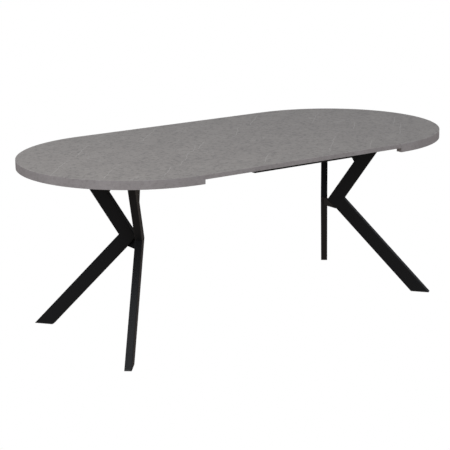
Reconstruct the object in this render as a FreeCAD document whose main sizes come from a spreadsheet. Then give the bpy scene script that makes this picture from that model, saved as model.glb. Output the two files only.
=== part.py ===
"""Extendable dining table: two half-round tops on spider legs, drawn apart over two loose leaves.

The origin is on the floor under the table's middle, +X runs along the table and +Z is up.
Lengths are millimetres.  The left half is the right half turned by half a turn about +Z.
"""
import FreeCAD, Part
import math
import os
import re
import Sketcher

SIZES = [
    ("table_height", 750, "floor to the top surface"),
    ("top_radius", 500, "radius of each half-round top"),
    ("leaf_length", 500, "length of one leaf along the table"),
    ("seam_gap", 0.3, "play at each end of a leaf"),
    ("board_thick", 18, "laminated board"),
    ("edge_round", 1, "rounded upper edge of the boards"),
    ("strip_thick", 18, "thickening strip under a half top's rim"),
    ("strip_wide", 30, "radial width of the thickening strip"),
    ("tube_wide", 60, "wide side of the leg tube"),
    ("tube_thick", 30, "narrow side of the leg tube"),
    ("tube_wall", 2, "wall of every steel tube"),
    ("tube_corner", 3, "rounded long edges of every steel tube"),
    ("knee_reach", 528.5, "from the table's middle to the inner corner of the knees"),
    ("knee_height", 412, "height of the inner corner of the knees"),
    ("knee_offset", 15.5, "from a leg pair's own middle line to a knee"),
    ("pair_offset", 41, "from the table's middle line to a leg pair's own"),
    ("leg_turn", 51, "angle in plan between a leg and the table's long axis"),
    ("lower_lean", 43.5, "lean of the lower tube from upright"),
    ("upper_lean", 33.7, "lean of the upper tube from upright"),
    ("brace_height", 592, "where the brace leaves the upper tube"),
    ("brace_lean", 29, "lean of the brace from upright"),
    ("glide_thick", 5, "plastic glide under a foot"),
    ("plate_thick", 5, "steel plate on a leg's head"),
    ("plate_wide", 56, "width of the head plate"),
    ("plate_start", 45, "from the knee corner to the head plate, in plan"),
    ("plate_length", 240, "length of the head plate"),
    ("link_foot", 366, "height of the knee link's lower edge"),
    ("link_thick", 6, "thickness of the knee link"),
    ("arm_side", 75, "from the table's middle line to the support arm's outer side"),
    ("arm_reach", 43, "from the table's middle to the support arm's free end"),
    ("arm_foot", 611, "height of the support arm's underside"),
    ("cap_thick", 3, "rim of the plug in the arm's free end"),
    ("plug_deep", 18, "length of the plug inside the arm"),
    ("plug_play", 0.1, "play around the plug in the arm"),
    ("pad_start", 10, "from the arm's free end to the pad on it"),
    ("pad_length", 60, "length of the pad along the arm"),
    ("pad_wide", 20, "width of the pad"),
    ("pad_gap", 0.3, "between the pad and the leaf"),
    ("slide_side", 350, "from the table's middle line to a slide's outer side"),
    ("bar_wide", 15, "width of one slide bar"),
    ("bar_tall", 38, "height of a slide bar"),
    ("bar_gap", 0.5, "play between neighbouring slide bars"),
    ("tongue_deep", 5, "depth of a runner's tongue"),
    ("tongue_tall", 12, "height of a runner's tongue"),
    ("tongue_play", 0.5, "play around the tongue in its groove"),
    ("centre_half", 300, "half the length of a centre bar"),
    ("centre_drop", 0.3, "between a centre bar and the boards"),
    ("runner_start", 190, "from the table's middle to a runner's inner end"),
    ("runner_length", 570, "length of a runner"),
    ("runner_margin", 60, "from a runner's outer end to its outer screw"),
    ("runner_pitch", 80, "between a runner's screws"),
    ("ledge_long", 60, "a ledge plate along the table"),
    ("ledge_wide", 60, "a ledge plate across the table"),
    ("ledge_thick", 2, "thickness of a ledge plate"),
    ("ledge_near", 210, "middle of the ledge plate on the arm's side"),
    ("ledge_far", 130, "middle of the other ledge plate"),
    ("screw_radius", 2.25, "shank of a wood screw"),
    ("screw_head_radius", 4.5, "head of a wood screw"),
    ("screw_head_tall", 2.6, "height of a screw's head"),
    ("screw_bite", 13, "depth of a screw in the board"),
    ("recess_long", 5, "length of each slot of the cross in a screw's head"),
    ("recess_wide", 1, "width of each slot of the cross"),
    ("recess_deep", 1.3, "depth of the cross"),
    ("hole_radius", 2.75, "clearance hole for a screw"),
    ("bore_radius", 5.5, "counterbore for a screw in a runner"),
    ("bore_deep", 24, "depth of the counterbore"),
    ("head_screw_side", 21, "from a head plate's middle line to its screws"),
    ("head_screw_end", 30, "from a head plate's end to its screws"),
    ("peg_radius", 4, "locating peg under a leaf"),
    ("peg_deep", 9, "length of a peg below the leaf"),
    ("peg_bite", 8, "depth of a peg in the leaf"),
    ("peg_play", 0.4, "play around a peg in the centre bar"),
    ("peg_hole_deep", 10, "depth of a peg's hole in the centre bar"),
    ("peg_first", 60, "from the table's middle to the first pegs"),
    ("peg_second", 240, "from the table's middle to the second pegs"),
]

ENDS = {"near": -1, "far": 1}
HALVES = {"right": 1, "left": -1}
FREE = "0"
TOLERANCE = 0.01

HEAD_TOP = "table_height - board_thick - plate_thick"
BAR_FOOT = "table_height - board_thick - bar_tall"
CENTRE_BAR_LINE = "slide_side - bar_wide * 1.5 - bar_gap"
RUNNER_LINES = {"outer": "slide_side - bar_wide / 2",
                "inner": "slide_side - bar_wide * 2.5 - bar_gap * 2"}

doc = FreeCAD.newDocument("dining_table")
sheet = doc.addObject("Spreadsheet::Sheet", "Sizes")
nodes = []


def fill_sheet():
    """Put every driving dimension in the sheet, one to a row."""
    for row, (alias, value, meaning) in enumerate(SIZES, start=1):
        sheet.set(f"A{row}", meaning)
        sheet.set(f"B{row}", str(value))
        sheet.setAlias(f"B{row}", alias)
    doc.recompute()


def formula(text):
    """Write a size's alias as the sheet's cell in every word of a formula."""
    names = {alias for alias, value, meaning in SIZES}

    def cell(match):
        word = match.group()
        return f"Sizes.{word}" if word in names else word

    return re.sub("[a-z_]+", cell, text)


def value_of(text):
    """The number that a formula gives now."""
    return float(sheet.evalExpression(formula(text)))


# ---- bodies, sketches and features -------------------------------------------------------------

def new_body(label):
    body = doc.addObject("PartDesign::Body", label)
    body.Label = label
    nodes.append(body)
    return body


def place(item, half, x=FREE, y=FREE, z=FREE, turn=FREE):
    """Place a piece of the right half by formulas, or its twin of the left half by half a turn."""
    side = HALVES[half]
    base_turn = 0 if side > 0 else 180
    angle = value_of(turn) + base_turn
    item.Placement = FreeCAD.Placement(FreeCAD.Vector(),
                                       FreeCAD.Rotation(FreeCAD.Vector(0, 0, 1), angle))
    item.setExpression("Placement.Base.x", formula(f"{side} * ({x})"))
    item.setExpression("Placement.Base.y", formula(f"{side} * ({y})"))
    item.setExpression("Placement.Base.z", formula(z))


def new_sketch(body, name, role="XY_Plane", lift=FREE):
    """A sketch on one of the body's own origin planes, lifted off it by a formula."""
    plane = next(f for f in body.Origin.OriginFeatures if f.Role == role)
    sketch = body.newObject("Sketcher::SketchObject", name)
    sketch.AttachmentSupport = [(plane, "")]
    sketch.MapMode = "FlatFace"
    if lift != FREE:
        sketch.setExpression("AttachmentOffset.Base.z", formula(lift))
    return sketch


def pin_point(sketch, edge, end, x, y):
    """Hold one end or centre of an edge at the place that two formulas give."""
    for kind, text, axis in (("DistanceX", x, -2), ("DistanceY", y, -1)):
        if text == FREE:
            sketch.addConstraint(Sketcher.Constraint("PointOnObject", edge, end, axis))
            continue
        number = sketch.addConstraint(
            Sketcher.Constraint(kind, -1, 1, edge, end, value_of(text)))
        sketch.setExpression(f"Constraints[{number}]", formula(text))


def draw_outline(sketch, corners):
    """A closed outline of straight edges through corners, each a pair of formulas."""
    points = [FreeCAD.Vector(value_of(x), value_of(y), 0) for x, y in corners]
    count = len(points)
    first = sketch.GeometryCount
    for index, point in enumerate(points):
        sketch.addGeometry(Part.LineSegment(point, points[(index + 1) % count]))
    for index in range(count):
        after = first + (index + 1) % count
        sketch.addConstraint(Sketcher.Constraint("Coincident", first + index, 2, after, 1))
    for index, (x, y) in enumerate(corners):
        pin_point(sketch, first + index, 1, x, y)


def draw_rectangle(sketch, x_low, x_high, y_low, y_high):
    draw_outline(sketch, [(x_low, y_low), (x_high, y_low), (x_high, y_high), (x_low, y_high)])


def draw_circle(sketch, x, y, radius):
    centre = FreeCAD.Vector(value_of(x), value_of(y), 0)
    circle = Part.Circle(centre, FreeCAD.Vector(0, 0, 1), value_of(radius))
    edge = sketch.addGeometry(circle)
    pin_point(sketch, edge, 3, x, y)
    number = sketch.addConstraint(Sketcher.Constraint("Radius", edge, value_of(radius)))
    sketch.setExpression(f"Constraints[{number}]", formula(radius))


def draw_half_arc(sketch, radius):
    """The half circle about the sketch's origin on its +X side; returns the edge's number."""
    circle = Part.Circle(FreeCAD.Vector(0, 0, 0), FreeCAD.Vector(0, 0, 1), value_of(radius))
    edge = sketch.addGeometry(Part.ArcOfCircle(circle, -math.pi / 2, math.pi / 2))
    sketch.addConstraint(Sketcher.Constraint("Coincident", edge, 3, -1, 1))
    sketch.addConstraint(Sketcher.Constraint("PointOnObject", edge, 1, -2))
    sketch.addConstraint(Sketcher.Constraint("PointOnObject", edge, 2, -2))
    number = sketch.addConstraint(Sketcher.Constraint("Radius", edge, value_of(radius)))
    sketch.setExpression(f"Constraints[{number}]", formula(radius))
    return edge


def join_ends(sketch, edge_a, end_a, edge_b, end_b):
    """A straight edge between an end of one arc and an end of another."""
    start = sketch.getPoint(edge_a, end_a)
    finish = sketch.getPoint(edge_b, end_b)
    line = sketch.addGeometry(Part.LineSegment(start, finish))
    sketch.addConstraint(Sketcher.Constraint("Coincident", line, 1, edge_a, end_a))
    sketch.addConstraint(Sketcher.Constraint("Coincident", line, 2, edge_b, end_b))


def pad(body, sketch, length, symmetric=False):
    feature = body.newObject("PartDesign::Pad", f"{sketch.Name}_pad")
    feature.Profile = sketch
    feature.setExpression("Length", formula(length))
    if symmetric:
        feature.SideType = "Symmetric"
    sketch.Visibility = False
    return feature


def pocket(body, sketch, length, symmetric=False):
    """Cut a sketch out of the body, upwards from the sketch or to both sides of it."""
    doc.recompute()
    before = body.Shape.Volume
    feature = body.newObject("PartDesign::Pocket", f"{sketch.Name}_pocket")
    feature.Profile = sketch
    feature.setExpression("Length", formula(length))
    feature.Reversed = True
    if symmetric:
        feature.SideType = "Symmetric"
    doc.recompute()
    if body.Shape.Volume >= before:
        raise RuntimeError(f"{feature.Name} cuts nothing")
    return feature


def round_upper_rim(body, base):
    """Round the outer edges of a board's upper face."""
    doc.recompute()
    top = value_of("board_thick")
    rim = []
    for number, edge in enumerate(base.Shape.Edges, start=1):
        box = edge.BoundBox
        if abs(box.ZMin - top) < TOLERANCE and abs(box.ZMax - top) < TOLERANCE:
            is_arc = edge.Curve.TypeId == "Part::GeomCircle"
            runs_along = edge.Curve.TypeId == "Part::GeomLine" and box.YLength < TOLERANCE
            if is_arc or runs_along:
                rim.append(f"Edge{number}")
    feature = body.newObject("PartDesign::Fillet", f"{body.Name}_rim")
    feature.Base = (base, rim)
    feature.setExpression("Radius", formula("edge_round"))


# ---- tops and leaves ---------------------------------------------------------------------------

def half_top(half):
    body = new_body(f"{half}_half_top")
    sketch = new_sketch(body, f"{half}_top_outline")
    arc = draw_half_arc(sketch, "top_radius")
    join_ends(sketch, arc, 2, arc, 1)
    board = pad(body, sketch, "board_thick")
    round_upper_rim(body, board)
    place(body, half, x="leaf_length", z="table_height - board_thick")


def edge_strip(half):
    body = new_body(f"{half}_edge_strip")
    sketch = new_sketch(body, f"{half}_strip_outline")
    outer = draw_half_arc(sketch, "top_radius")
    inner = draw_half_arc(sketch, "top_radius - strip_wide")
    join_ends(sketch, outer, 1, inner, 1)
    join_ends(sketch, outer, 2, inner, 2)
    pad(body, sketch, "strip_thick")
    place(body, half, x="leaf_length", z="table_height - board_thick - strip_thick")


def peg_places():
    """Places of a leaf's pegs beside the right half: two on each centre bar."""
    return [(x, f"{side} * ({CENTRE_BAR_LINE})")
            for x in ("peg_first", "peg_second") for side in (-1, 1)]


def leaf(half):
    body = new_body(f"{half}_leaf")
    sketch = new_sketch(body, f"{half}_leaf_outline")
    draw_rectangle(sketch, "seam_gap", "leaf_length - seam_gap", "-1 * top_radius", "top_radius")
    board = pad(body, sketch, "board_thick")
    round_upper_rim(body, board)
    holes = new_sketch(body, f"{half}_leaf_peg_holes")
    for x, y in peg_places():
        draw_circle(holes, x, y, "peg_radius")
    pocket(body, holes, "peg_bite")
    place(body, half, z="table_height - board_thick")


# ---- steel legs --------------------------------------------------------------------------------

def place_on_leg(body, half, end):
    """Stand a piece drawn in a leg's own upright plane at the leg's knee."""
    place(body, half, x="knee_reach", y=f"pair_offset + {ENDS[end]} * knee_offset",
          turn=f"{ENDS[end]} * leg_turn")


def leg_name(half, end):
    """Front is the -Y side of the table, so the near leg is in front only on the right half."""
    in_front = HALVES[half] * ENDS[end] < 0
    return f"{half}_front" if in_front else f"{half}_rear"


def round_long_edges(body, base, along):
    """Round the edges of a straight piece that run along a direction, an (x, y, z) of formulas."""
    doc.recompute()
    direction = FreeCAD.Vector(*[value_of(part) for part in along])
    edges = []
    for number, edge in enumerate(base.Shape.Edges, start=1):
        run = edge.Vertexes[-1].Point - edge.Vertexes[0].Point
        if run.cross(direction).Length < TOLERANCE:
            edges.append(f"Edge{number}")
    feature = body.newObject("PartDesign::Fillet", f"{body.Name}_corners")
    feature.Base = (base, edges)
    feature.setExpression("Radius", formula("tube_corner"))


def leg_tube(label, outline, start, along, inward, half, end):
    """A flat-sided tube in a leg's upright plane, with the channel inside it.

    It runs from a start point in one direction, and inward is square to that, across the tube.
    """
    body = new_body(label)
    side_view = new_sketch(body, f"{label}_side", "XZ_Plane")
    draw_outline(side_view, outline)
    solid = pad(body, side_view, "tube_thick", symmetric=True)
    round_long_edges(body, solid, (along[0], FREE, along[1]))
    inside = new_sketch(body, f"{label}_inside", "XZ_Plane")
    draw_outline(inside, channel_of(start, along, inward))
    pocket(body, inside, "tube_thick - 2 * tube_wall", symmetric=True)
    place_on_leg(body, half, end)


def elbow():
    """The outer corner of the mitre between the lower and the upper tube."""
    half_bend = "((lower_lean + upper_lean) / 2)"
    tilt = "((lower_lean - upper_lean) / 2)"
    x = f"tube_wide * cos{tilt} / cos{half_bend}"
    z = f"knee_height + tube_wide * sin{tilt} / cos{half_bend}"
    return x, z


def channel_of(start, along, inward):
    """The outline of a tube's channel, long enough to open both its ends."""
    ends = []
    for far in ("-1 * tube_wide", "table_height"):
        for across in ("tube_wall", "(tube_wide - tube_wall)"):
            ends.append(tuple(f"{start[i]} + {far} * {along[i]} + {across} * {inward[i]}"
                              for i in range(2)))
    return [ends[0], ends[1], ends[3], ends[2]]


LOWER_ALONG = ("sin(lower_lean)", "-1 * cos(lower_lean)")


def lower_leg(half, end):
    foot = "glide_thick"
    inner = "(knee_height - glide_thick) * tan(lower_lean)"
    outer = f"{inner} + tube_wide / cos(lower_lean)"
    outline = [(FREE, "knee_height"), elbow(), (outer, foot), (inner, foot)]
    leg_tube(f"{leg_name(half, end)}_lower_leg", outline, (FREE, "knee_height"), LOWER_ALONG,
             ("cos(lower_lean)", "sin(lower_lean)"), half, end)


def upper_leg(half, end):
    inner = f"({HEAD_TOP} - knee_height) * tan(upper_lean)"
    outer = f"{inner} + tube_wide / cos(upper_lean)"
    outline = [(FREE, "knee_height"), (inner, HEAD_TOP), (outer, HEAD_TOP), elbow()]
    leg_tube(f"{leg_name(half, end)}_upper_leg", outline, (FREE, "knee_height"),
             ("sin(upper_lean)", "cos(upper_lean)"),
             ("cos(upper_lean)", "-1 * sin(upper_lean)"), half, end)


def brace(half, end):
    """The short tube that leans inwards from the upper tube to the head plate."""
    root_x = "(brace_height - knee_height) * tan(upper_lean)"
    run = "(tube_wide / sin(upper_lean + brace_lean))"
    fork_x = f"{root_x} + {run} * sin(upper_lean)"
    fork_z = f"brace_height + {run} * cos(upper_lean)"
    inner = f"{root_x} - ({HEAD_TOP} - brace_height) * tan(brace_lean)"
    outer = f"{inner} + tube_wide / cos(brace_lean)"
    outline = [(root_x, "brace_height"), (fork_x, fork_z), (outer, HEAD_TOP), (inner, HEAD_TOP)]
    leg_tube(f"{leg_name(half, end)}_leg_brace", outline, (root_x, "brace_height"),
             ("-1 * sin(brace_lean)", "cos(brace_lean)"),
             ("cos(brace_lean)", "sin(brace_lean)"), half, end)


def foot_glide(half, end):
    body = new_body(f"{leg_name(half, end)}_foot_glide")
    sketch = new_sketch(body, f"{body.Name}_side", "XZ_Plane")
    low = "knee_height * tan(lower_lean)"
    high = "(knee_height - glide_thick) * tan(lower_lean)"
    wide = "tube_wide / cos(lower_lean)"
    draw_outline(sketch, [(low, FREE), (f"{low} + {wide}", FREE),
                          (f"{high} + {wide}", "glide_thick"), (high, "glide_thick")])
    solid = pad(body, sketch, "tube_thick", symmetric=True)
    round_long_edges(body, solid, (LOWER_ALONG[0], FREE, LOWER_ALONG[1]))
    place_on_leg(body, half, end)


def head_screw_places():
    """Places of a head plate's screws in the leg's own plane and across it."""
    first = "plate_start + head_screw_end"
    last = "plate_start + plate_length - head_screw_end"
    return [(x, f"{side} * head_screw_side") for x in (first, last) for side in (-1, 1)]


def head_plate(half, end):
    body = new_body(f"{leg_name(half, end)}_head_plate")
    sketch = new_sketch(body, f"{body.Name}_outline", lift=HEAD_TOP)
    draw_rectangle(sketch, "plate_start", "plate_start + plate_length",
                   "-1 * plate_wide / 2", "plate_wide / 2")
    for x, y in head_screw_places():
        draw_circle(sketch, x, y, "hole_radius")
    pad(body, sketch, "plate_thick")
    place_on_leg(body, half, end)


def knee_link(half):
    """The plate welded across the undersides of a pair's lower tubes, below the knees."""
    body = new_body(f"{half}_knee_link")
    run = "((knee_height - link_foot) * tan(lower_lean) * cos(leg_turn))"
    widest = f"(knee_offset + {run} * tan(leg_turn))"
    side_view = new_sketch(body, f"{half}_link_side", "XZ_Plane")
    draw_outline(side_view, [(FREE, "knee_height"), (run, "link_foot"),
                             (f"{run} - link_thick", "link_foot"),
                             ("-1 * link_thick", "knee_height")])
    pad(body, side_view, f"2 * {widest}", symmetric=True)
    for end, side in ENDS.items():
        trim = new_sketch(body, f"{half}_{end}_link_trim")
        narrowest = f"{side} * (knee_offset - link_thick * tan(leg_turn))"
        draw_outline(trim, [("-1 * link_thick", narrowest), (run, f"{side} * {widest}"),
                            ("-1 * link_thick", f"{side} * {widest}")])
        pocket(body, trim, "knee_height")
    place(body, half, x="knee_reach", y="pair_offset")


# ---- support arms ------------------------------------------------------------------------------

def support_arm(half):
    """The tube that reaches from a near leg's brace to the table's middle, under the leaves."""
    body = new_body(f"{half}_support_arm")
    plan = new_sketch(body, f"{half}_arm_plan")
    outer_side = "-1 * arm_side"
    inner_side = "(tube_thick - arm_side)"
    start = "(arm_reach + cap_thick)"

    def leg_side(y):
        return (f"knee_reach + (pair_offset - knee_offset - {y}) / tan(leg_turn)"
                " - tube_thick / 2 / sin(leg_turn)")

    draw_outline(plan, [(start, outer_side), (leg_side(outer_side), outer_side),
                        (leg_side(inner_side), inner_side), (start, inner_side)])
    solid = pad(body, plan, "tube_wide")
    round_long_edges(body, solid, ("1", FREE, FREE))
    channel = new_sketch(body, f"{half}_arm_channel", lift="tube_wall")
    draw_rectangle(channel, "arm_reach", "knee_reach + top_radius",
                   f"{outer_side} + tube_wall", f"{inner_side} - tube_wall")
    pocket(body, channel, "tube_wide - 2 * tube_wall")
    place(body, half, z="arm_foot")


def arm_cap(half):
    """The plastic plug in the support arm's free end."""
    body = new_body(f"{half}_arm_cap")
    rim = new_sketch(body, f"{half}_cap_rim")
    draw_rectangle(rim, "arm_reach", "arm_reach + cap_thick", "-1 * arm_side",
                   "tube_thick - arm_side")
    solid = pad(body, rim, "tube_wide")
    round_long_edges(body, solid, ("1", FREE, FREE))
    inset = "(tube_wall + plug_play)"
    plug = new_sketch(body, f"{half}_cap_plug", lift=inset)
    draw_rectangle(plug, "arm_reach + cap_thick", "arm_reach + cap_thick + plug_deep",
                   f"{inset} - arm_side", f"tube_thick - {inset} - arm_side")
    pad(body, plug, f"tube_wide - 2 * {inset}")
    place(body, half, z="arm_foot")


def arm_pad(half):
    """The block on the support arm that carries the leaf near the middle seam."""
    body = new_body(f"{half}_arm_pad")
    sketch = new_sketch(body, f"{half}_pad_outline")
    middle = "(tube_thick / 2 - arm_side)"
    start = "arm_reach + pad_start"
    draw_rectangle(sketch, start, f"{start} + pad_length", f"{middle} - pad_wide / 2",
                   f"{middle} + pad_wide / 2")
    pad(body, sketch, "table_height - board_thick - pad_gap - arm_foot - tube_wide")
    place(body, half, z="arm_foot + tube_wide")


# ---- slides ------------------------------------------------------------------------------------

def runner_screw_places():
    """Distances of a runner's screws from its inner end."""
    return [f"runner_length - runner_margin - {step} * runner_pitch" for step in range(3)]


def runner(half, rank):
    """A bar screwed under a half top, with a tongue that rides in the centre bar's groove.

    The right half has its outer runner in front and its inner runner at the rear.
    """
    in_front = (HALVES[half] > 0) == (rank == "outer")
    body = new_body(f"{half}_{'front' if in_front else 'rear'}_runner")
    section = new_sketch(body, f"{body.Name}_section", "YZ_Plane")
    root = "bar_wide / 2"
    tip = "(bar_wide / 2 + tongue_deep)"
    low = "(bar_tall - tongue_tall) / 2"
    high = "(bar_tall + tongue_tall) / 2"
    draw_outline(section, [("-1 * bar_wide / 2", FREE), (root, FREE), (root, low), (tip, low),
                           (tip, high), (root, high), (root, "bar_tall"),
                           ("-1 * bar_wide / 2", "bar_tall")])
    pad(body, section, "runner_length")
    for name, radius, depth in (("shank", "hole_radius", "bar_tall"),
                                ("bore", "bore_radius", "bore_deep")):
        sketch = new_sketch(body, f"{body.Name}_{name}")
        for x in runner_screw_places():
            draw_circle(sketch, x, FREE, radius)
        pocket(body, sketch, depth)
    side = "-1" if rank == "outer" else "1"
    place(body, half, x="runner_start", y=f"{side} * ({RUNNER_LINES[rank]})", z=BAR_FOOT)


def centre_bar(label, side):
    """The bar between two runners: a groove in each side, and holes for the leaves' pegs."""
    body = new_body(label)
    section = new_sketch(body, f"{label}_section", "YZ_Plane")
    wide = "(bar_wide / 2)"
    web = "(bar_wide / 2 - tongue_deep - tongue_play + bar_gap)"
    low = "((bar_tall - tongue_tall) / 2 - tongue_play)"
    high = "((bar_tall + tongue_tall) / 2 + tongue_play)"
    top = "bar_tall - centre_drop"
    right = [(wide, FREE), (wide, low), (web, low), (web, high), (wide, high), (wide, top)]
    left = [(f"-1 * {y}", z) for y, z in reversed(right)]
    draw_outline(section, right + left)
    pad(body, section, "2 * centre_half", symmetric=True)
    holes = new_sketch(body, f"{label}_peg_holes", lift=f"{top} - peg_hole_deep")
    for x in ("peg_first", "peg_second"):
        for turn in (-1, 1):
            draw_circle(holes, f"{turn} * {x}", FREE, "peg_radius + peg_play")
    pocket(body, holes, "2 * peg_hole_deep")
    place(body, "right", y=f"{side} * ({CENTRE_BAR_LINE})", z=BAR_FOOT)


def ledge_screw_places():
    """Places of a ledge plate's two screws from its middle."""
    return [("ledge_long / 4", f"{side} * ledge_wide / 4") for side in (-1, 1)]


def ledge_plate(half, end):
    """A plate screwed under a half top; its free end carries the edge of the leaf."""
    body = new_body(f"{leg_name(half, end)}_ledge_plate")
    sketch = new_sketch(body, f"{body.Name}_outline")
    draw_rectangle(sketch, "-1 * ledge_long / 2", "ledge_long / 2",
                   "-1 * ledge_wide / 2", "ledge_wide / 2")
    for x, y in ledge_screw_places():
        draw_circle(sketch, x, y, "hole_radius")
    pad(body, sketch, "ledge_thick")
    place(body, half, x="leaf_length", y=f"{ENDS[end]} * ledge_{end}",
          z="table_height - board_thick - ledge_thick")


# ---- fasteners ---------------------------------------------------------------------------------

def group(label, solids, half):
    """One node of separate like solids, drawn for the right half."""
    item = doc.addObject("Part::Feature", label)
    item.Label = label
    item.Shape = Part.makeCompound(solids)
    nodes.append(item)
    place(item, half)


def round_lower_rim(solid, radius):
    """Round the rim of an upright cylinder's lower end."""
    low = solid.BoundBox.ZMin
    rim = [edge for edge in solid.Edges if edge.BoundBox.ZMax < low + TOLERANCE]
    return solid.makeFillet(radius, rim)


def cross_recess(x, y, low):
    """The cross that a driver turns, as two crossed slots from a head's lower end."""
    long, wide, deep = [value_of(size) for size in ("recess_long", "recess_wide", "recess_deep")]
    slots = [Part.makeBox(size_x, size_y, deep, FreeCAD.Vector(x - size_x / 2, y - size_y / 2, low))
             for size_x, size_y in ((long, wide), (wide, long))]
    return slots[0].fuse(slots[1])


def wood_screw(x, y, seat):
    """A pan-head screw driven upwards, its head's flat side on the seat height."""
    head_tall = value_of("screw_head_tall")
    top = value_of("table_height - board_thick + screw_bite")
    radius = value_of("screw_radius")
    head = Part.makeCylinder(value_of("screw_head_radius"), head_tall,
                             FreeCAD.Vector(x, y, seat - head_tall))
    head = round_lower_rim(head, head_tall / 2).cut(cross_recess(x, y, seat - head_tall))
    shank = Part.makeCylinder(radius, top - seat, FreeCAD.Vector(x, y, seat))
    return head.fuse(shank).removeSplitter()


def head_screws(half):
    seat = value_of(HEAD_TOP)
    solids = []
    for end, side in ENDS.items():
        turn = FreeCAD.Rotation(FreeCAD.Vector(0, 0, 1), side * value_of("leg_turn"))
        knee = FreeCAD.Vector(value_of("knee_reach"),
                              value_of(f"pair_offset + {side} * knee_offset"), 0)
        for x, y in head_screw_places():
            spot = knee + turn.multVec(FreeCAD.Vector(value_of(x), value_of(y), 0))
            solids.append(wood_screw(spot.x, spot.y, seat))
    group(f"{half}_head_screws", solids, half)


def runner_screws(half):
    seat = value_of(f"{BAR_FOOT} + bore_deep")
    solids = []
    for side, rank in ((-1, "outer"), (1, "inner")):
        y = side * value_of(RUNNER_LINES[rank])
        for x in runner_screw_places():
            solids.append(wood_screw(value_of(f"runner_start + {x}"), y, seat))
    group(f"{half}_runner_screws", solids, half)


def ledge_screws(half):
    seat = value_of("table_height - board_thick - ledge_thick")
    solids = []
    for end, side in ENDS.items():
        for x, y in ledge_screw_places():
            spot_y = value_of(f"{side} * ledge_{end} + {y}")
            solids.append(wood_screw(value_of(f"leaf_length + {x}"), spot_y, seat))
    group(f"{half}_ledge_screws", solids, half)


def leaf_pegs(half):
    """The pegs in a leaf's underside, rounded where they enter the centre bars."""
    radius = value_of("peg_radius")
    low = value_of("table_height - board_thick - peg_deep")
    tall = value_of("peg_deep + peg_bite")
    solids = []
    for x, y in peg_places():
        peg = Part.makeCylinder(radius, tall, FreeCAD.Vector(value_of(x), value_of(y), low))
        solids.append(round_lower_rim(peg, radius / 3))
    group(f"{half}_leaf_pegs", solids, half)


# ---- the whole table ---------------------------------------------------------------------------

def build_half(half):
    half_top(half)
    edge_strip(half)
    for end in ENDS:
        upper_leg(half, end)
        lower_leg(half, end)
        brace(half, end)
        head_plate(half, end)
        foot_glide(half, end)
        ledge_plate(half, end)
    knee_link(half)
    support_arm(half)
    arm_cap(half)
    arm_pad(half)
    runner(half, "outer")
    runner(half, "inner")
    head_screws(half)
    runner_screws(half)
    ledge_screws(half)
    leaf(half)
    leaf_pegs(half)


def check_and_write():
    """Stop at any failed object, then write each node's solids to its own file."""
    doc.recompute()
    for item in doc.Objects:
        if "Invalid" in item.State or "Error" in item.State:
            raise RuntimeError(f"{item.Name} failed: {item.State}")
    for item in nodes:
        if item.Shape.isNull() or not item.Shape.isValid() or not item.Shape.Solids:
            raise RuntimeError(f"{item.Label} has no valid solid")
    os.makedirs("parts", exist_ok=True)
    for item in nodes:
        item.Shape.exportStep(f"parts/{item.Label}.step")
    print(len(nodes), "nodes written")


fill_sheet()
for name in HALVES:
    build_half(name)
centre_bar("front_centre_bar", -1)
centre_bar("rear_centre_bar", 1)
check_and_write()
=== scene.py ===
"""Looks of an extendable dining table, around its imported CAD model.

Two half-round tops on bent steel legs slide apart over two loose leaves.  Lengths are metres,
+X runs along the table and +Z is up.
"""
import math

import bmesh
import bpy
from mathutils import Matrix, Vector

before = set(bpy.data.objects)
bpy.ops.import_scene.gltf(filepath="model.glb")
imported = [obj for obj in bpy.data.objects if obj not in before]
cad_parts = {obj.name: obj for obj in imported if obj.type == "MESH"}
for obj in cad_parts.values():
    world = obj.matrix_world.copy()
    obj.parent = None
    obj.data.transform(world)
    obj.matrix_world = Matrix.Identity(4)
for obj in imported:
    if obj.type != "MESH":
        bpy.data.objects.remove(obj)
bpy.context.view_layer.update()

bl_info = {
    "name": "Extendable dining table",
    "version": (1, 0, 0),
    "blender": (4, 5, 0),
    "location": "3D View > Sidebar > Table",
    "description": "Finishes, fittings and studio for a dining table with half-round tops",
    "category": "Object",
}

HALVES = ("right", "left")
FLOOR_DROP = 0.0002
ROOM_STEPS = 12
ROOM_TURNS = 96
ROOM_RINGS = (0.02, 0.1, 0.3, 1.0)


# ---- sizes and colours -------------------------------------------------------------------------

def colour_field(name, description, default):
    return bpy.props.FloatVectorProperty(name=name, description=description, default=default,
                                         subtype="COLOR", size=3, min=0, max=1)


def length_field(name, description, default):
    return bpy.props.FloatProperty(name=name, description=description, default=default,
                                   min=0, unit="LENGTH", precision=4)


def angle_field(name, description, default):
    return bpy.props.FloatProperty(name=name, description=description, subtype="ANGLE",
                                   default=math.radians(default))


def share_field(name, description, default):
    return bpy.props.FloatProperty(name=name, description=description, default=default,
                                   min=0, max=1, subtype="FACTOR")


class LaminateSettings(bpy.types.PropertyGroup):
    """The stone-look laminate of the tops, the leaves and their edge bands."""
    stone: colour_field("Stone", "Ground colour of the top", (0.302, 0.279, 0.257))
    edge: colour_field("Edge band", "Ground colour of the edge bands", (0.350, 0.333, 0.340))
    fleck: colour_field("Flecks", "Colour of the dark flecks", (0.112, 0.102, 0.098))
    vein: colour_field("Veins", "Colour of the veins", (0.500, 0.470, 0.440))
    backing: colour_field("Backing", "Colour of the undersides", (0.135, 0.128, 0.124))
    vein_wide: length_field("Vein width", "Width of a main vein", 0.0022)
    vein_turn: angle_field("Vein direction", "Direction of the veins from the long axis", 47)
    roughness: share_field("Roughness", "Roughness of the matt print", 0.62)


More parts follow.
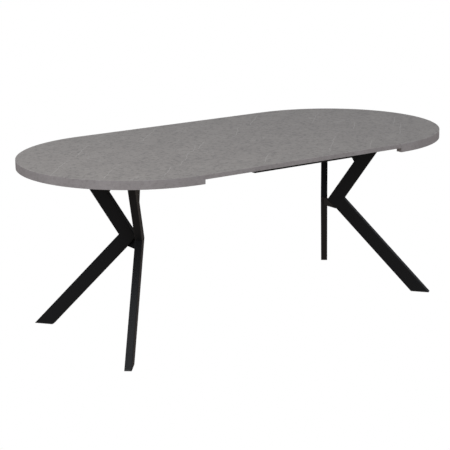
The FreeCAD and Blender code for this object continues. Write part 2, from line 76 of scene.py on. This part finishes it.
class SteelSettings(bpy.types.PropertyGroup):
    """The powder-coated steel of the legs and the support arms."""
    coat: colour_field("Powder coat", "Colour of the powder coat", (0.0070, 0.0080, 0.0093))
    rub: colour_field("Rubbed edge", "Colour of the coat where it is rubbed",
                      (0.024, 0.024, 0.025))
    roughness: share_field("Roughness", "Roughness of the powder coat", 0.58)
    corner: length_field("Rubbed width", "How far the rubbing reaches from an edge", 0.0012)


class FittingSettings(bpy.types.PropertyGroup):
    """The plastic, aluminium and zinc of the fittings."""
    plastic: colour_field("Plastic", "Colour of the moulded plastic", (0.013, 0.013, 0.0135))
    aluminium: colour_field("Aluminium", "Colour of the slide bars", (0.60, 0.60, 0.61))
    zinc: colour_field("Zinc", "Colour of the zinc plating", (0.58, 0.585, 0.57))
    corner: length_field("Edge radius", "Rounding shown along a fitting's edges", 0.0005)


class StageSettings(bpy.types.PropertyGroup):
    """The camera, the lights and the pale studio round the table."""
    lens: bpy.props.FloatProperty(name="Lens", description="Focal length in millimetres",
                                  default=114.05, min=1)
    azimuth: angle_field("Azimuth", "Camera's turn from the table's front", -34.605)
    elevation: angle_field("Elevation", "Camera's height above the horizon", 14.335)
    roll: angle_field("Roll", "Camera's turn about its own axis", -0.686)
    distance: length_field("Distance", "From the camera to the point it looks at", 4.7207)
    aim: bpy.props.FloatVectorProperty(name="Aim", description="The point the camera looks at",
                                       default=(-0.8829, -1.183, 0.75), subtype="XYZ",
                                       unit="LENGTH")
    pale: colour_field("Backdrop", "Colour of the floor and the backdrop", (1.0, 1.0, 1.0))
    floor_glow: colour_field("Floor light", "Light from the floor", (0.33, 0.28, 0.25))
    wall_glow: colour_field("Wall light", "Light from the wall and above", (0.50, 0.52, 0.56))
    room_radius: length_field("Floor radius", "Radius of the flat floor", 12)
    bend_radius: length_field("Bend radius", "Radius from the floor up to the wall", 3)
    wall_height: length_field("Wall height", "Height of the wall above the bend", 4)


# ---- node helpers ------------------------------------------------------------------------------

def add_node(tree, kind, inputs=None, **settings):
    """Add a node, set its settings, and link or set each of its inputs."""
    node = tree.nodes.new(kind)
    for name, value in settings.items():
        setattr(node, name, value)
    for key, value in (inputs or {}).items():
        if isinstance(value, bpy.types.NodeSocket):
            tree.links.new(value, node.inputs[key])
        else:
            node.inputs[key].default_value = value
    return node


def maths(tree, operation, *values, clamp=False):
    node = add_node(tree, "ShaderNodeMath", dict(enumerate(values)), operation=operation,
                    use_clamp=clamp)
    return node.outputs[0]


def smooth_step(tree, value, low, high):
    """From 0 where value is at low to 1 where it is at high."""
    node = add_node(tree, "ShaderNodeMapRange",
                    {"Value": value, "From Min": low, "From Max": high},
                    interpolation_type="SMOOTHSTEP")
    return node.outputs["Result"]


def span(tree, value, low, high):
    """Stretch a value from 0 to 1 over low to high."""
    node = add_node(tree, "ShaderNodeMapRange", {"Value": value, "To Min": low, "To Max": high})
    return node.outputs["Result"]


def mix_colours(tree, share, first, second):
    node = add_node(tree, "ShaderNodeMix", {"Factor": share}, data_type="RGBA")
    for name, value in (("A", first), ("B", second)):
        socket = next(s for s in node.inputs if s.name == name and s.type == "RGBA")
        if isinstance(value, bpy.types.NodeSocket):
            tree.links.new(value, socket)
        else:
            socket.default_value = (*value, 1)
    return next(s for s in node.outputs if s.type == "RGBA")


def noise(tree, vector, size, detail=3.0, roughness=0.5):
    """Noise whose blobs are about size across; size is a length or a socket with one."""
    scale = maths(tree, "DIVIDE", 1.0, size)
    return add_node(tree, "ShaderNodeTexNoise",
                    {"Vector": vector, "Scale": scale, "Detail": detail,
                     "Roughness": roughness}).outputs["Fac"]


def mapped(tree, vector, stretch=(1, 1, 1), shift=(0, 0, 0)):
    """The vector scaled by stretch and then shifted."""
    return add_node(tree, "ShaderNodeMapping",
                    {"Vector": vector, "Scale": stretch, "Location": shift}).outputs["Vector"]


def new_group(name, inputs, outputs):
    """A shader node group with named float or vector sockets; returns it with its two ends."""
    tree = bpy.data.node_groups.new(name, "ShaderNodeTree")
    kinds = {"float": "NodeSocketFloat", "vector": "NodeSocketVector"}
    for label, kind, default in inputs:
        socket = tree.interface.new_socket(label, in_out="INPUT", socket_type=kinds[kind])
        if default is not None:
            socket.default_value = default
    for label in outputs:
        kind = "NodeSocketVector" if label == "Normal" else "NodeSocketFloat"
        tree.interface.new_socket(label, in_out="OUTPUT", socket_type=kind)
    return tree, tree.nodes.new("NodeGroupInput"), tree.nodes.new("NodeGroupOutput")


def use_group(tree, name, inputs=None):
    """Place a shared group; returns its outputs."""
    group = bpy.data.node_groups[name]
    return add_node(tree, "ShaderNodeGroup", inputs, node_tree=group).outputs


# ---- shared effects ----------------------------------------------------------------------------

def make_fine_grain():
    """The small uneven texture of a moulded, printed or sprayed surface."""
    tree, start, end = new_group(
        "Fine grain", [("Vector", "vector", None), ("Size", "float", 0.001)], ["Height", "Blotch"])
    fine = noise(tree, start.outputs["Vector"], start.outputs["Size"], detail=2.0)
    wide_size = maths(tree, "MULTIPLY", start.outputs["Size"], 40.0)
    wide = noise(tree, start.outputs["Vector"], wide_size, detail=4.0, roughness=0.6)
    tree.links.new(fine, end.inputs["Height"])
    tree.links.new(wide, end.inputs["Blotch"])


def make_edge_wear_and_highlight():
    """A mask along sharp outer edges, broken up by noise, and the normal of rounded edges; on the
    laminate the mask also paints a highlight along the edges.
    """
    tree, start, end = new_group(
        "Edge wear and highlight", [("Vector", "vector", None), ("Radius", "float", 0.001)], ["Mask", "Normal"])
    rounded = add_node(tree, "ShaderNodeBevel", {"Radius": start.outputs["Radius"]}, samples=4)
    flat = add_node(tree, "ShaderNodeNewGeometry").outputs["Normal"]
    facing = add_node(tree, "ShaderNodeVectorMath", {0: rounded.outputs["Normal"], 1: flat},
                      operation="DOT_PRODUCT").outputs["Value"]
    bend = maths(tree, "SUBTRACT", 1.0, facing, clamp=True)
    edge = smooth_step(tree, bend, 0.03, 0.25)
    broken = smooth_step(tree, noise(tree, start.outputs["Vector"], 0.02, detail=5.0), 0.42, 0.66)
    tree.links.new(maths(tree, "MULTIPLY", edge, broken), end.inputs["Mask"])
    tree.links.new(rounded.outputs["Normal"], end.inputs["Normal"])


def make_dust():
    """A thin film on faces that look up, gathered in soft patches."""
    tree, start, end = new_group(
        "Settled dust", [("Vector", "vector", None), ("Amount", "float", 0.3)], ["Mask"])
    normal = add_node(tree, "ShaderNodeNewGeometry").outputs["Normal"]
    up = add_node(tree, "ShaderNodeSeparateXYZ", {0: normal}).outputs["Z"]
    facing_up = smooth_step(tree, up, 0.1, 0.9)
    patches = span(tree, noise(tree, start.outputs["Vector"], 0.05, detail=4.0), 0.3, 1.0)
    film = maths(tree, "MULTIPLY", facing_up, patches)
    tree.links.new(maths(tree, "MULTIPLY", film, start.outputs["Amount"]), end.inputs["Mask"])


def make_brushing():
    """Long fine lines along +X, as left by drawing or extruding a bar."""
    tree, start, end = new_group(
        "Drawn lines", [("Vector", "vector", None), ("Size", "float", 0.001)], ["Height"])
    along = mapped(tree, start.outputs["Vector"], stretch=(0.01, 1, 1))
    tree.links.new(noise(tree, along, start.outputs["Size"], detail=3.0), end.inputs["Height"])


def make_stone_vein():
    """One long thin vein from a start point, in a given direction on the horizontal plane."""
    tree, start, end = new_group(
        "Stone vein",
        [("Vector", "vector", None), ("Start", "vector", (0, 0, 0)), ("Turn", "float", 0),
         ("Length", "float", 0.4), ("Width", "float", 0.002), ("Bow", "float", 0.02)],
        ["Mask"])
    wander = noise(tree, start.outputs["Vector"], 0.12, detail=3.0, roughness=0.6)
    offset = add_node(tree, "ShaderNodeVectorMath",
                      {0: start.outputs["Vector"], 1: start.outputs["Start"]},
                      operation="SUBTRACT").outputs["Vector"]
    back = maths(tree, "MULTIPLY", start.outputs["Turn"], -1.0)
    local = add_node(tree, "ShaderNodeVectorRotate", {"Vector": offset, "Angle": back},
                     rotation_type="Z_AXIS").outputs["Vector"]
    parts = add_node(tree, "ShaderNodeSeparateXYZ", {0: local}).outputs
    share = maths(tree, "DIVIDE", parts["X"], start.outputs["Length"])
    swing = maths(tree, "SUBTRACT", wander, 0.5)
    middle = maths(tree, "MULTIPLY", swing, start.outputs["Bow"])
    away = maths(tree, "ABSOLUTE", maths(tree, "SUBTRACT", parts["Y"], middle))
    thick = maths(tree, "MULTIPLY", start.outputs["Width"],
                  span(tree, noise(tree, start.outputs["Vector"], 0.03), 0.3, 1.2))
    line = maths(tree, "SUBTRACT", 1.0, maths(tree, "DIVIDE", away, thick), clamp=True)
    fade_in = smooth_step(tree, share, 0.0, 0.12)
    fade_out = smooth_step(tree, share, 1.0, 0.75)
    faded = maths(tree, "MULTIPLY", line, maths(tree, "MULTIPLY", fade_in, fade_out))
    tree.links.new(faded, end.inputs["Mask"])


def make_hair_veins():
    """A net of short hair-thin lines that mostly run one way, in scattered patches."""
    tree, start, end = new_group(
        "Hair veins",
        [("Vector", "vector", None), ("Turn", "float", 0), ("Width", "float", 0.01)], ["Mask"])
    back = maths(tree, "MULTIPLY", start.outputs["Turn"], -1.0)
    local = add_node(tree, "ShaderNodeVectorRotate",
                     {"Vector": start.outputs["Vector"], "Angle": back},
                     rotation_type="Z_AXIS").outputs["Vector"]
    drawn_out = mapped(tree, local, stretch=(0.22, 1, 1))
    field = noise(tree, drawn_out, 0.09, detail=3.5, roughness=0.55)
    ridge = maths(tree, "ABSOLUTE", maths(tree, "SUBTRACT", field, 0.5))
    line = maths(tree, "SUBTRACT", 1.0, maths(tree, "DIVIDE", ridge, start.outputs["Width"]),
                 clamp=True)
    patches = smooth_step(tree, noise(tree, start.outputs["Vector"], 0.16), 0.5, 0.68)
    tree.links.new(maths(tree, "MULTIPLY", line, patches), end.inputs["Mask"])


def make_flecks():
    """Small dark flecks over soft clouds of tone."""
    tree, start, end = new_group("Stone flecks", [("Vector", "vector", None)],
                                 ["Fleck", "Cloud", "Grain"])
    vector = start.outputs["Vector"]
    small = noise(tree, vector, 0.014, detail=5.0, roughness=0.68)
    cloud = noise(tree, vector, 0.11, detail=4.0, roughness=0.55)
    grain = noise(tree, vector, 0.0035, detail=2.0)
    tree.links.new(smooth_step(tree, small, 0.46, 0.70), end.inputs["Fleck"])
    tree.links.new(cloud, end.inputs["Cloud"])
    tree.links.new(grain, end.inputs["Grain"])


def make_effects():
    """Build every shared effect once, before the materials that use it."""
    for make in (make_fine_grain, make_edge_wear_and_highlight, make_dust, make_brushing, make_stone_vein,
                 make_hair_veins, make_flecks):
        make()


# ---- materials ---------------------------------------------------------------------------------

def new_material(name):
    """A new material; returns it, its node tree, its shader and a coordinate node."""
    material = bpy.data.materials.new(name)
    material.use_nodes = True
    tree = material.node_tree
    shader = tree.nodes["Principled BSDF"]
    place = add_node(tree, "ShaderNodeTexCoord")
    return material, tree, shader, place


def set_shader(tree, shader, **values):
    """Link or set the shader's sockets, named with _ for a space."""
    for name, value in values.items():
        socket = shader.inputs[name.replace("_", " ")]
        if isinstance(value, bpy.types.NodeSocket):
            tree.links.new(value, socket)
        elif socket.type == "RGBA":
            socket.default_value = (*value, 1)
        else:
            socket.default_value = value


def bump(tree, height, distance, strength=1.0, normal=None):
    inputs = {"Height": height, "Distance": distance, "Strength": strength}
    if normal is not None:
        inputs["Normal"] = normal
    return add_node(tree, "ShaderNodeBump", inputs).outputs["Normal"]


# Second tones of the finishes: dust, scuffs, die lines, smudges, crystals and tarnish.
STEEL_DUST = (0.09, 0.088, 0.085)
PLASTIC_DUST = (0.10, 0.098, 0.095)
PLASTIC_SCUFF = (0.05, 0.05, 0.052)
ALUMINIUM_LINES = (0.42, 0.42, 0.43)
ALUMINIUM_SMUDGE = (0.35, 0.34, 0.33)
ZINC_CRYSTAL = (0.44, 0.45, 0.47)
ZINC_TARNISH = (0.38, 0.36, 0.31)

HAIR_STRENGTH = 0.30
VEIN_STRENGTH = 0.62

# The main veins of each board: where they start, their length and how far they bow.
BOARD_VEINS = {
    "left_half_top": [(-0.990, -0.150, 0.33, 0.03), (-0.745, 0.100, 0.30, 0.04),
                      (-0.860, -0.330, 0.26, 0.03), (-0.640, -0.420, 0.20, 0.02)],
    "left_leaf": [(-0.500, -0.310, 0.49, 0.05), (-0.350, 0.220, 0.39, 0.04),
                  (-0.250, -0.070, 0.21, 0.02), (-0.200, -0.470, 0.24, 0.03)],
    "right_leaf": [(0.130, -0.470, 0.42, 0.05), (0.335, -0.488, 0.20, 0.02),
                   (0.020, 0.060, 0.34, 0.04), (0.250, 0.250, 0.30, 0.03)],
    "right_half_top": [(0.500, 0.115, 0.35, 0.04), (0.640, -0.330, 0.30, 0.03),
                       (0.790, -0.120, 0.22, 0.02), (0.560, -0.110, 0.18, 0.02)],
}
BOARD_SHIFTS = {"left_half_top": (0.0, 0.0, 0.0), "left_leaf": (3.1, 0.4, 0.0),
                "right_leaf": (-2.3, 1.7, 0.0), "right_half_top": (1.2, -2.9, 0.0)}


def laminate(board, settings):
    """Stone-look print with veins on top, a banded edge and a plain backing sheet below."""
    material, tree, shader, place = new_material(f"laminate_{board}")
    position = place.outputs["Object"]
    sheet = mapped(tree, position, shift=BOARD_SHIFTS[board])
    up = add_node(tree, "ShaderNodeSeparateXYZ", {0: place.outputs["Normal"]}).outputs["Z"]
    is_top = smooth_step(tree, up, 0.55, 0.85)
    is_backing = smooth_step(tree, up, -0.55, -0.85)

    flecks = use_group(tree, "Stone flecks", {"Vector": sheet})
    fine = use_group(tree, "Fine grain", {"Vector": sheet, "Size": 0.0006})
    ground = mix_colours(tree, is_top, settings.edge, settings.stone)
    clouded = mix_colours(tree, span(tree, flecks["Cloud"], -0.10, 0.40), ground, settings.fleck)
    fleck_share = maths(tree, "MULTIPLY", flecks["Fleck"], span(tree, is_top, 0.30, 0.80))
    flecked = mix_colours(tree, fleck_share, clouded, settings.fleck)
    bright_grain = maths(tree, "SUBTRACT", flecks["Grain"], 0.45, clamp=True)
    grain_share = maths(tree, "MULTIPLY", bright_grain, 0.7)
    grained = mix_colours(tree, grain_share, flecked, settings.vein)

    hair = use_group(tree, "Hair veins", {"Vector": sheet, "Turn": settings.vein_turn,
                                          "Width": 0.006})["Mask"]
    veins = maths(tree, "MULTIPLY", hair, HAIR_STRENGTH)
    for x, y, length, bow in BOARD_VEINS[board]:
        mask = use_group(tree, "Stone vein",
                         {"Vector": position, "Start": (x, y, 0), "Turn": settings.vein_turn,
                          "Length": length, "Width": settings.vein_wide, "Bow": bow})["Mask"]
        on_top = maths(tree, "MULTIPLY", mask, is_top)
        veins = maths(tree, "MAXIMUM", veins,
                      maths(tree, "MULTIPLY", on_top, VEIN_STRENGTH))
    printed = mix_colours(tree, veins, grained, settings.vein)
    backing = mix_colours(tree, span(tree, fine["Blotch"], 0.0, 0.25), settings.backing,
                          settings.fleck)
    colour = mix_colours(tree, is_backing, printed, backing)

    wear_and_highlight = use_group(tree, "Edge wear and highlight", {"Vector": position, "Radius": 0.0008})
    # Painted highlight and rubbed print: the edges are lightened towards the vein colour along the
    # edge mask, partly as worn print and partly in place of the highlight on the rounded edge.
    edges_lightened = mix_colours(tree, maths(tree, "MULTIPLY", wear_and_highlight["Mask"], 0.5), colour, settings.vein)
    rough = maths(tree, "ADD", maths(tree, "MULTIPLY", flecks["Fleck"], -0.08),
                  span(tree, fine["Blotch"], settings.roughness - 0.06, settings.roughness + 0.06))
    relief = maths(tree, "ADD", maths(tree, "MULTIPLY", flecks["Grain"], 0.6), fine["Height"])
    set_shader(tree, shader, Base_Color=edges_lightened, Roughness=rough, Specular_IOR_Level=0.25,
               Normal=bump(tree, relief, 0.00006, 0.5, wear_and_highlight["Normal"]))
    return material


def powder_coat(settings):
    """Matt black powder coat with a fine orange peel, rubbed a little along its edges."""
    material, tree, shader, place = new_material("black_powder_coat")
    position = place.outputs["Object"]
    grain = use_group(tree, "Fine grain", {"Vector": position, "Size": 0.0009})
    wear_and_highlight = use_group(tree, "Edge wear and highlight", {"Vector": position, "Radius": settings.corner})
    dust = use_group(tree, "Settled dust", {"Vector": position, "Amount": 0.04})["Mask"]
    coat = mix_colours(tree, span(tree, grain["Blotch"], 0.0, 0.16), settings.coat, settings.rub)
    edges_lightened = mix_colours(tree, maths(tree, "MULTIPLY", wear_and_highlight["Mask"], 0.12), coat, settings.rub)
    dusted = mix_colours(tree, dust, edges_lightened, STEEL_DUST)
    rough = maths(tree, "SUBTRACT",
                  span(tree, grain["Blotch"], settings.roughness - 0.07, settings.roughness + 0.07),
                  maths(tree, "MULTIPLY", wear_and_highlight["Mask"], 0.04))
    set_shader(tree, shader, Base_Color=dusted, Roughness=rough, Specular_IOR_Level=0.20,
               Normal=bump(tree, grain["Height"], 0.00004, 0.25))
    return material


def moulded_plastic(settings):
    """Black plastic with the fine spark-eroded grain of its mould."""
    material, tree, shader, place = new_material("black_plastic")
    position = place.outputs["Object"]
    grain = use_group(tree, "Fine grain", {"Vector": position, "Size": 0.0005})
    wear_and_highlight = use_group(tree, "Edge wear and highlight", {"Vector": position, "Radius": settings.corner})
    dust = use_group(tree, "Settled dust", {"Vector": position, "Amount": 0.08})["Mask"]
    scuffed = mix_colours(tree, maths(tree, "MULTIPLY", wear_and_highlight["Mask"], 0.4), settings.plastic,
                          PLASTIC_SCUFF)
    dusted = mix_colours(tree, dust, scuffed, PLASTIC_DUST)
    set_shader(tree, shader, Base_Color=dusted, Roughness=span(tree, grain["Blotch"], 0.48, 0.62),
               Specular_IOR_Level=0.35,
               Normal=bump(tree, grain["Height"], 0.00006, 0.7, wear_and_highlight["Normal"]))
    return material


def drawn_aluminium(settings):
    """Satin aluminium with the long die lines of an extrusion."""
    material, tree, shader, place = new_material("satin_aluminium")
    position = place.outputs["Object"]
    lines = use_group(tree, "Drawn lines", {"Vector": position, "Size": 0.0012})["Height"]
    grain = use_group(tree, "Fine grain", {"Vector": position, "Size": 0.001})
    wear_and_highlight = use_group(tree, "Edge wear and highlight", {"Vector": position, "Radius": settings.corner})
    tone = mix_colours(tree, span(tree, lines, 0.0, 0.35), settings.aluminium, ALUMINIUM_LINES)
    smudged = mix_colours(tree, span(tree, grain["Blotch"], 0.0, 0.2), tone, ALUMINIUM_SMUDGE)
    rough = maths(tree, "ADD", span(tree, grain["Blotch"], 0.26, 0.42),
                  maths(tree, "MULTIPLY", lines, 0.08))
    set_shader(tree, shader, Base_Color=smudged, Roughness=rough, Metallic=1.0,
               Normal=bump(tree, lines, 0.00004, 0.6, wear_and_highlight["Normal"]))
    return material


def zinc_plate(settings):
    """Bright zinc plating, blotched and a little dull where it has been handled."""
    material, tree, shader, place = new_material("zinc_plate")
    position = place.outputs["Object"]
    grain = use_group(tree, "Fine grain", {"Vector": position, "Size": 0.0004})
    wear_and_highlight = use_group(tree, "Edge wear and highlight", {"Vector": position, "Radius": settings.corner})
    crystals = add_node(tree, "ShaderNodeTexVoronoi",
                        {"Vector": position, "Scale": 400.0}).outputs["Distance"]
    tone = mix_colours(tree, span(tree, crystals, 0.0, 0.4), settings.zinc, ZINC_CRYSTAL)
    tarnish = mix_colours(tree, span(tree, grain["Blotch"], 0.0, 0.25), tone, ZINC_TARNISH)
    set_shader(tree, shader, Base_Color=tarnish, Roughness=span(tree, grain["Blotch"], 0.24, 0.46),
               Metallic=1.0, Normal=bump(tree, grain["Height"], 0.00003, 0.5, wear_and_highlight["Normal"]))
    return material


def pale_studio(settings):
    """A plain pale sheet that lights the scene softly and shows as nearly white.

    Its underside lets the view through, so that the table can be seen from below.
    """
    material, tree, shader, place = new_material("pale_studio")
    tree.nodes.remove(shader)
    colour = (*settings.pale, 1)
    seen = add_node(tree, "ShaderNodeEmission", {"Color": colour, "Strength": 1.0}).outputs[0]
    height = add_node(tree, "ShaderNodeSeparateXYZ", {0: place.outputs["Object"]}).outputs["Z"]
    glow = mix_colours(tree, smooth_step(tree, height, 0.0, 2.0), settings.floor_glow,
                       settings.wall_glow)
    lit = add_node(tree, "ShaderNodeEmission", {"Color": glow}).outputs[0]
    clear = add_node(tree, "ShaderNodeBsdfTransparent").outputs[0]
    is_seen = add_node(tree, "ShaderNodeLightPath").outputs["Is Camera Ray"]
    is_below = add_node(tree, "ShaderNodeNewGeometry").outputs["Backfacing"]
    front = add_node(tree, "ShaderNodeMixShader", {0: is_seen, 1: lit, 2: seen}).outputs[0]
    both = add_node(tree, "ShaderNodeMixShader", {0: is_below, 1: front, 2: clear}).outputs[0]
    tree.links.new(both, tree.nodes["Material Output"].inputs["Surface"])
    return material


def coat_node(name, material):
    """Give a CAD node one material all over."""
    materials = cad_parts[name].data.materials
    materials.clear()
    materials.append(material)


def need_nodes(names):
    missing = [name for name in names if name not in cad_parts]
    if missing:
        raise RuntimeError(f"the packed model has no {missing}")
    return names


# ---- operators ---------------------------------------------------------------------------------

def names_of(pattern, places=("front", "rear")):
    return [pattern.format(half=half, place=place) for half in HALVES for place in places]


class TABLE_OT_tops(bpy.types.Operator):
    """Cover the half tops, their edge strips and the leaves with stone-look laminate"""
    bl_idname = "table.tops"
    bl_label = "Tops and leaves"

    def execute(self, context):
        settings = context.scene.table_laminate
        for half in HALVES:
            top = laminate(f"{half}_half_top", settings)
            leaf = laminate(f"{half}_leaf", settings)
            for name, material in ((f"{half}_half_top", top), (f"{half}_edge_strip", top),
                                   (f"{half}_leaf", leaf)):
                need_nodes([name])
                coat_node(name, material)
        return {"FINISHED"}


class TABLE_OT_legs(bpy.types.Operator):
    """Powder coat the legs, their head plates, the knee links and the support arms"""
    bl_idname = "table.legs"
    bl_label = "Legs and arms"

    def execute(self, context):
        settings = context.scene.table_steel
        material = powder_coat(settings)
        names = []
        for pattern in ("{half}_{place}_upper_leg", "{half}_{place}_lower_leg",
                        "{half}_{place}_leg_brace", "{half}_{place}_head_plate"):
            names += names_of(pattern)
        for pattern in ("{half}_knee_link", "{half}_support_arm"):
            names += names_of(pattern, [""])
        for name in need_nodes(names):
            coat_node(name, material)
        return {"FINISHED"}


class TABLE_OT_plastics(bpy.types.Operator):
    """Finish the foot glides, arm caps, arm pads and leaf pegs as moulded plastic"""
    bl_idname = "table.plastics"
    bl_label = "Glides, caps and pegs"

    def execute(self, context):
        material = moulded_plastic(context.scene.table_fittings)
        names = names_of("{half}_{place}_foot_glide")
        for pattern in ("{half}_arm_cap", "{half}_arm_pad", "{half}_leaf_pegs"):
            names += names_of(pattern, [""])
        for name in need_nodes(names):
            coat_node(name, material)
        return {"FINISHED"}


class TABLE_OT_slides(bpy.types.Operator):
    """Finish the slide bars as extruded aluminium"""
    bl_idname = "table.slides"
    bl_label = "Slides"

    def execute(self, context):
        material = drawn_aluminium(context.scene.table_fittings)
        names = names_of("{half}_{place}_runner") + ["front_centre_bar", "rear_centre_bar"]
        for name in need_nodes(names):
            coat_node(name, material)
        return {"FINISHED"}


class TABLE_OT_fasteners(bpy.types.Operator):
    """Finish the screws and the ledge plates as zinc-plated steel"""
    bl_idname = "table.fasteners"
    bl_label = "Screws and ledge plates"

    def execute(self, context):
        material = zinc_plate(context.scene.table_fittings)
        names = names_of("{half}_{place}_ledge_plate")
        for pattern in ("{half}_head_screws", "{half}_runner_screws", "{half}_ledge_screws"):
            names += names_of(pattern, [""])
        for name in need_nodes(names):
            coat_node(name, material)
        return {"FINISHED"}


# Each soft box: its name, its place, the point it faces, its side in metres and its watts.
SOFT_BOXES = (
    ("soft_box_above", (-2.4, -0.6, 3.6), (-0.3, 0, 0.7), 2.5, 60),
    ("soft_box_camera", (-2.0, -5.8, 2.4), (0, 0, 0.5), 2.5, 62),
    ("soft_box_right", (4.5, -2.5, 2.0), (0.6, 0, 0.5), 2.0, 15),
)


def build_room(settings):
    """A round floor that bends up into a wall, facing the table."""
    rings = [(settings.room_radius * share, -FLOOR_DROP) for share in ROOM_RINGS]
    for step in range(1, ROOM_STEPS + 1):
        angle = math.pi / 2 * step / ROOM_STEPS
        rings.append((settings.room_radius + settings.bend_radius * math.sin(angle),
                      settings.bend_radius * (1 - math.cos(angle)) - FLOOR_DROP))
    rings.append((rings[-1][0], rings[-1][1] + settings.wall_height))
    mesh = bmesh.new()
    rows = []
    for radius, height in rings:
        row = []
        for turn in range(ROOM_TURNS):
            angle = 2 * math.pi * turn / ROOM_TURNS
            row.append(mesh.verts.new((radius * math.cos(angle), radius * math.sin(angle),
                                       height)))
        rows.append(row)
    mesh.faces.new(rows[0])
    for inner, outer in zip(rows, rows[1:]):
        for turn in range(ROOM_TURNS):
            after = (turn + 1) % ROOM_TURNS
            face = mesh.faces.new((inner[turn], outer[turn], outer[after], inner[after]))
            face.smooth = True
    data = bpy.data.meshes.new("studio_room")
    mesh.to_mesh(data)
    mesh.free()
    return data


def add_light(name, place, aim, size, power):
    """A square soft box at a place, turned to a point."""
    data = bpy.data.lights.new(name, "AREA")
    data.size = size
    data.energy = power
    item = bpy.data.objects.new(name, data)
    item.location = place
    direction = Vector(aim) - Vector(place)
    item.rotation_euler = direction.to_track_quat("-Z", "Y").to_euler()
    bpy.context.scene.collection.objects.link(item)


def add_camera(settings):
    """The camera, turned and rolled about the point it looks at."""
    azimuth, elevation = settings.azimuth, settings.elevation
    back = Vector((math.sin(azimuth) * math.cos(elevation),
                   -math.cos(azimuth) * math.cos(elevation), math.sin(elevation)))
    level = (-back).cross(Vector((0, 0, 1))).normalized()
    upright = level.cross(-back)
    right = level * math.cos(settings.roll) + upright * math.sin(settings.roll)
    above = upright * math.cos(settings.roll) - level * math.sin(settings.roll)
    data = bpy.data.cameras.new("camera")
    data.lens = settings.lens
    data.clip_end = 100
    item = bpy.data.objects.new("camera", data)
    turn = Matrix((right, above, back)).transposed().to_4x4()
    item.matrix_world = Matrix.Translation(Vector(settings.aim) + back * settings.distance) @ turn
    bpy.context.scene.collection.objects.link(item)
    bpy.context.scene.camera = item


class TABLE_OT_stage(bpy.types.Operator):
    """Build the pale floor and backdrop, the soft lights and the camera"""
    bl_idname = "table.stage"
    bl_label = "Stage"

    def execute(self, context):
        settings = context.scene.table_stage
        room = bpy.data.objects.new("studio_room", build_room(settings))
        room.data.materials.append(pale_studio(settings))
        context.scene.collection.objects.link(room)
        world = bpy.data.worlds.new("studio_air")
        world.use_nodes = True
        backdrop = world.node_tree.nodes["Background"]
        backdrop.inputs["Color"].default_value = (*settings.wall_glow, 1)
        context.scene.world = world
        for name, place, aim, size, power in SOFT_BOXES:
            add_light(name, place, aim, size, power)
        add_camera(settings)
        context.scene.view_settings.view_transform = "Standard"
        return {"FINISHED"}


class TABLE_PT_panel(bpy.types.Panel):
    """The table's settings, and a button for each group of pieces"""
    bl_label = "Dining table"
    bl_idname = "TABLE_PT_panel"
    bl_space_type = "VIEW_3D"
    bl_region_type = "UI"
    bl_category = "Table"

    def draw(self, context):
        for attribute in SETTINGS:
            box = self.layout.box()
            settings = getattr(context.scene, attribute)
            for field in settings.bl_rna.properties:
                if field.identifier not in ("rna_type", "name"):
                    box.prop(settings, field.identifier)
        for operator in OPERATORS:
            self.layout.operator(operator.bl_idname)


SETTINGS = {"table_laminate": LaminateSettings, "table_steel": SteelSettings,
            "table_fittings": FittingSettings, "table_stage": StageSettings}
OPERATORS = (TABLE_OT_tops, TABLE_OT_legs, TABLE_OT_plastics, TABLE_OT_slides,
             TABLE_OT_fasteners, TABLE_OT_stage)


def register():
    for group in SETTINGS.values():
        bpy.utils.register_class(group)
    for attribute, group in SETTINGS.items():
        setattr(bpy.types.Scene, attribute, bpy.props.PointerProperty(type=group))
    for operator in OPERATORS:
        bpy.utils.register_class(operator)
    bpy.utils.register_class(TABLE_PT_panel)


def unregister():
    bpy.utils.unregister_class(TABLE_PT_panel)
    for operator in reversed(OPERATORS):
        bpy.utils.unregister_class(operator)
    for attribute in SETTINGS:
        delattr(bpy.types.Scene, attribute)
    for group in SETTINGS.values():
        bpy.utils.unregister_class(group)


def main():
    register()
    make_effects()
    bpy.ops.table.tops()
    bpy.ops.table.legs()
    bpy.ops.table.plastics()
    bpy.ops.table.slides()
    bpy.ops.table.fasteners()
    bpy.ops.table.stage()


if __name__ == "__main__":
    main()
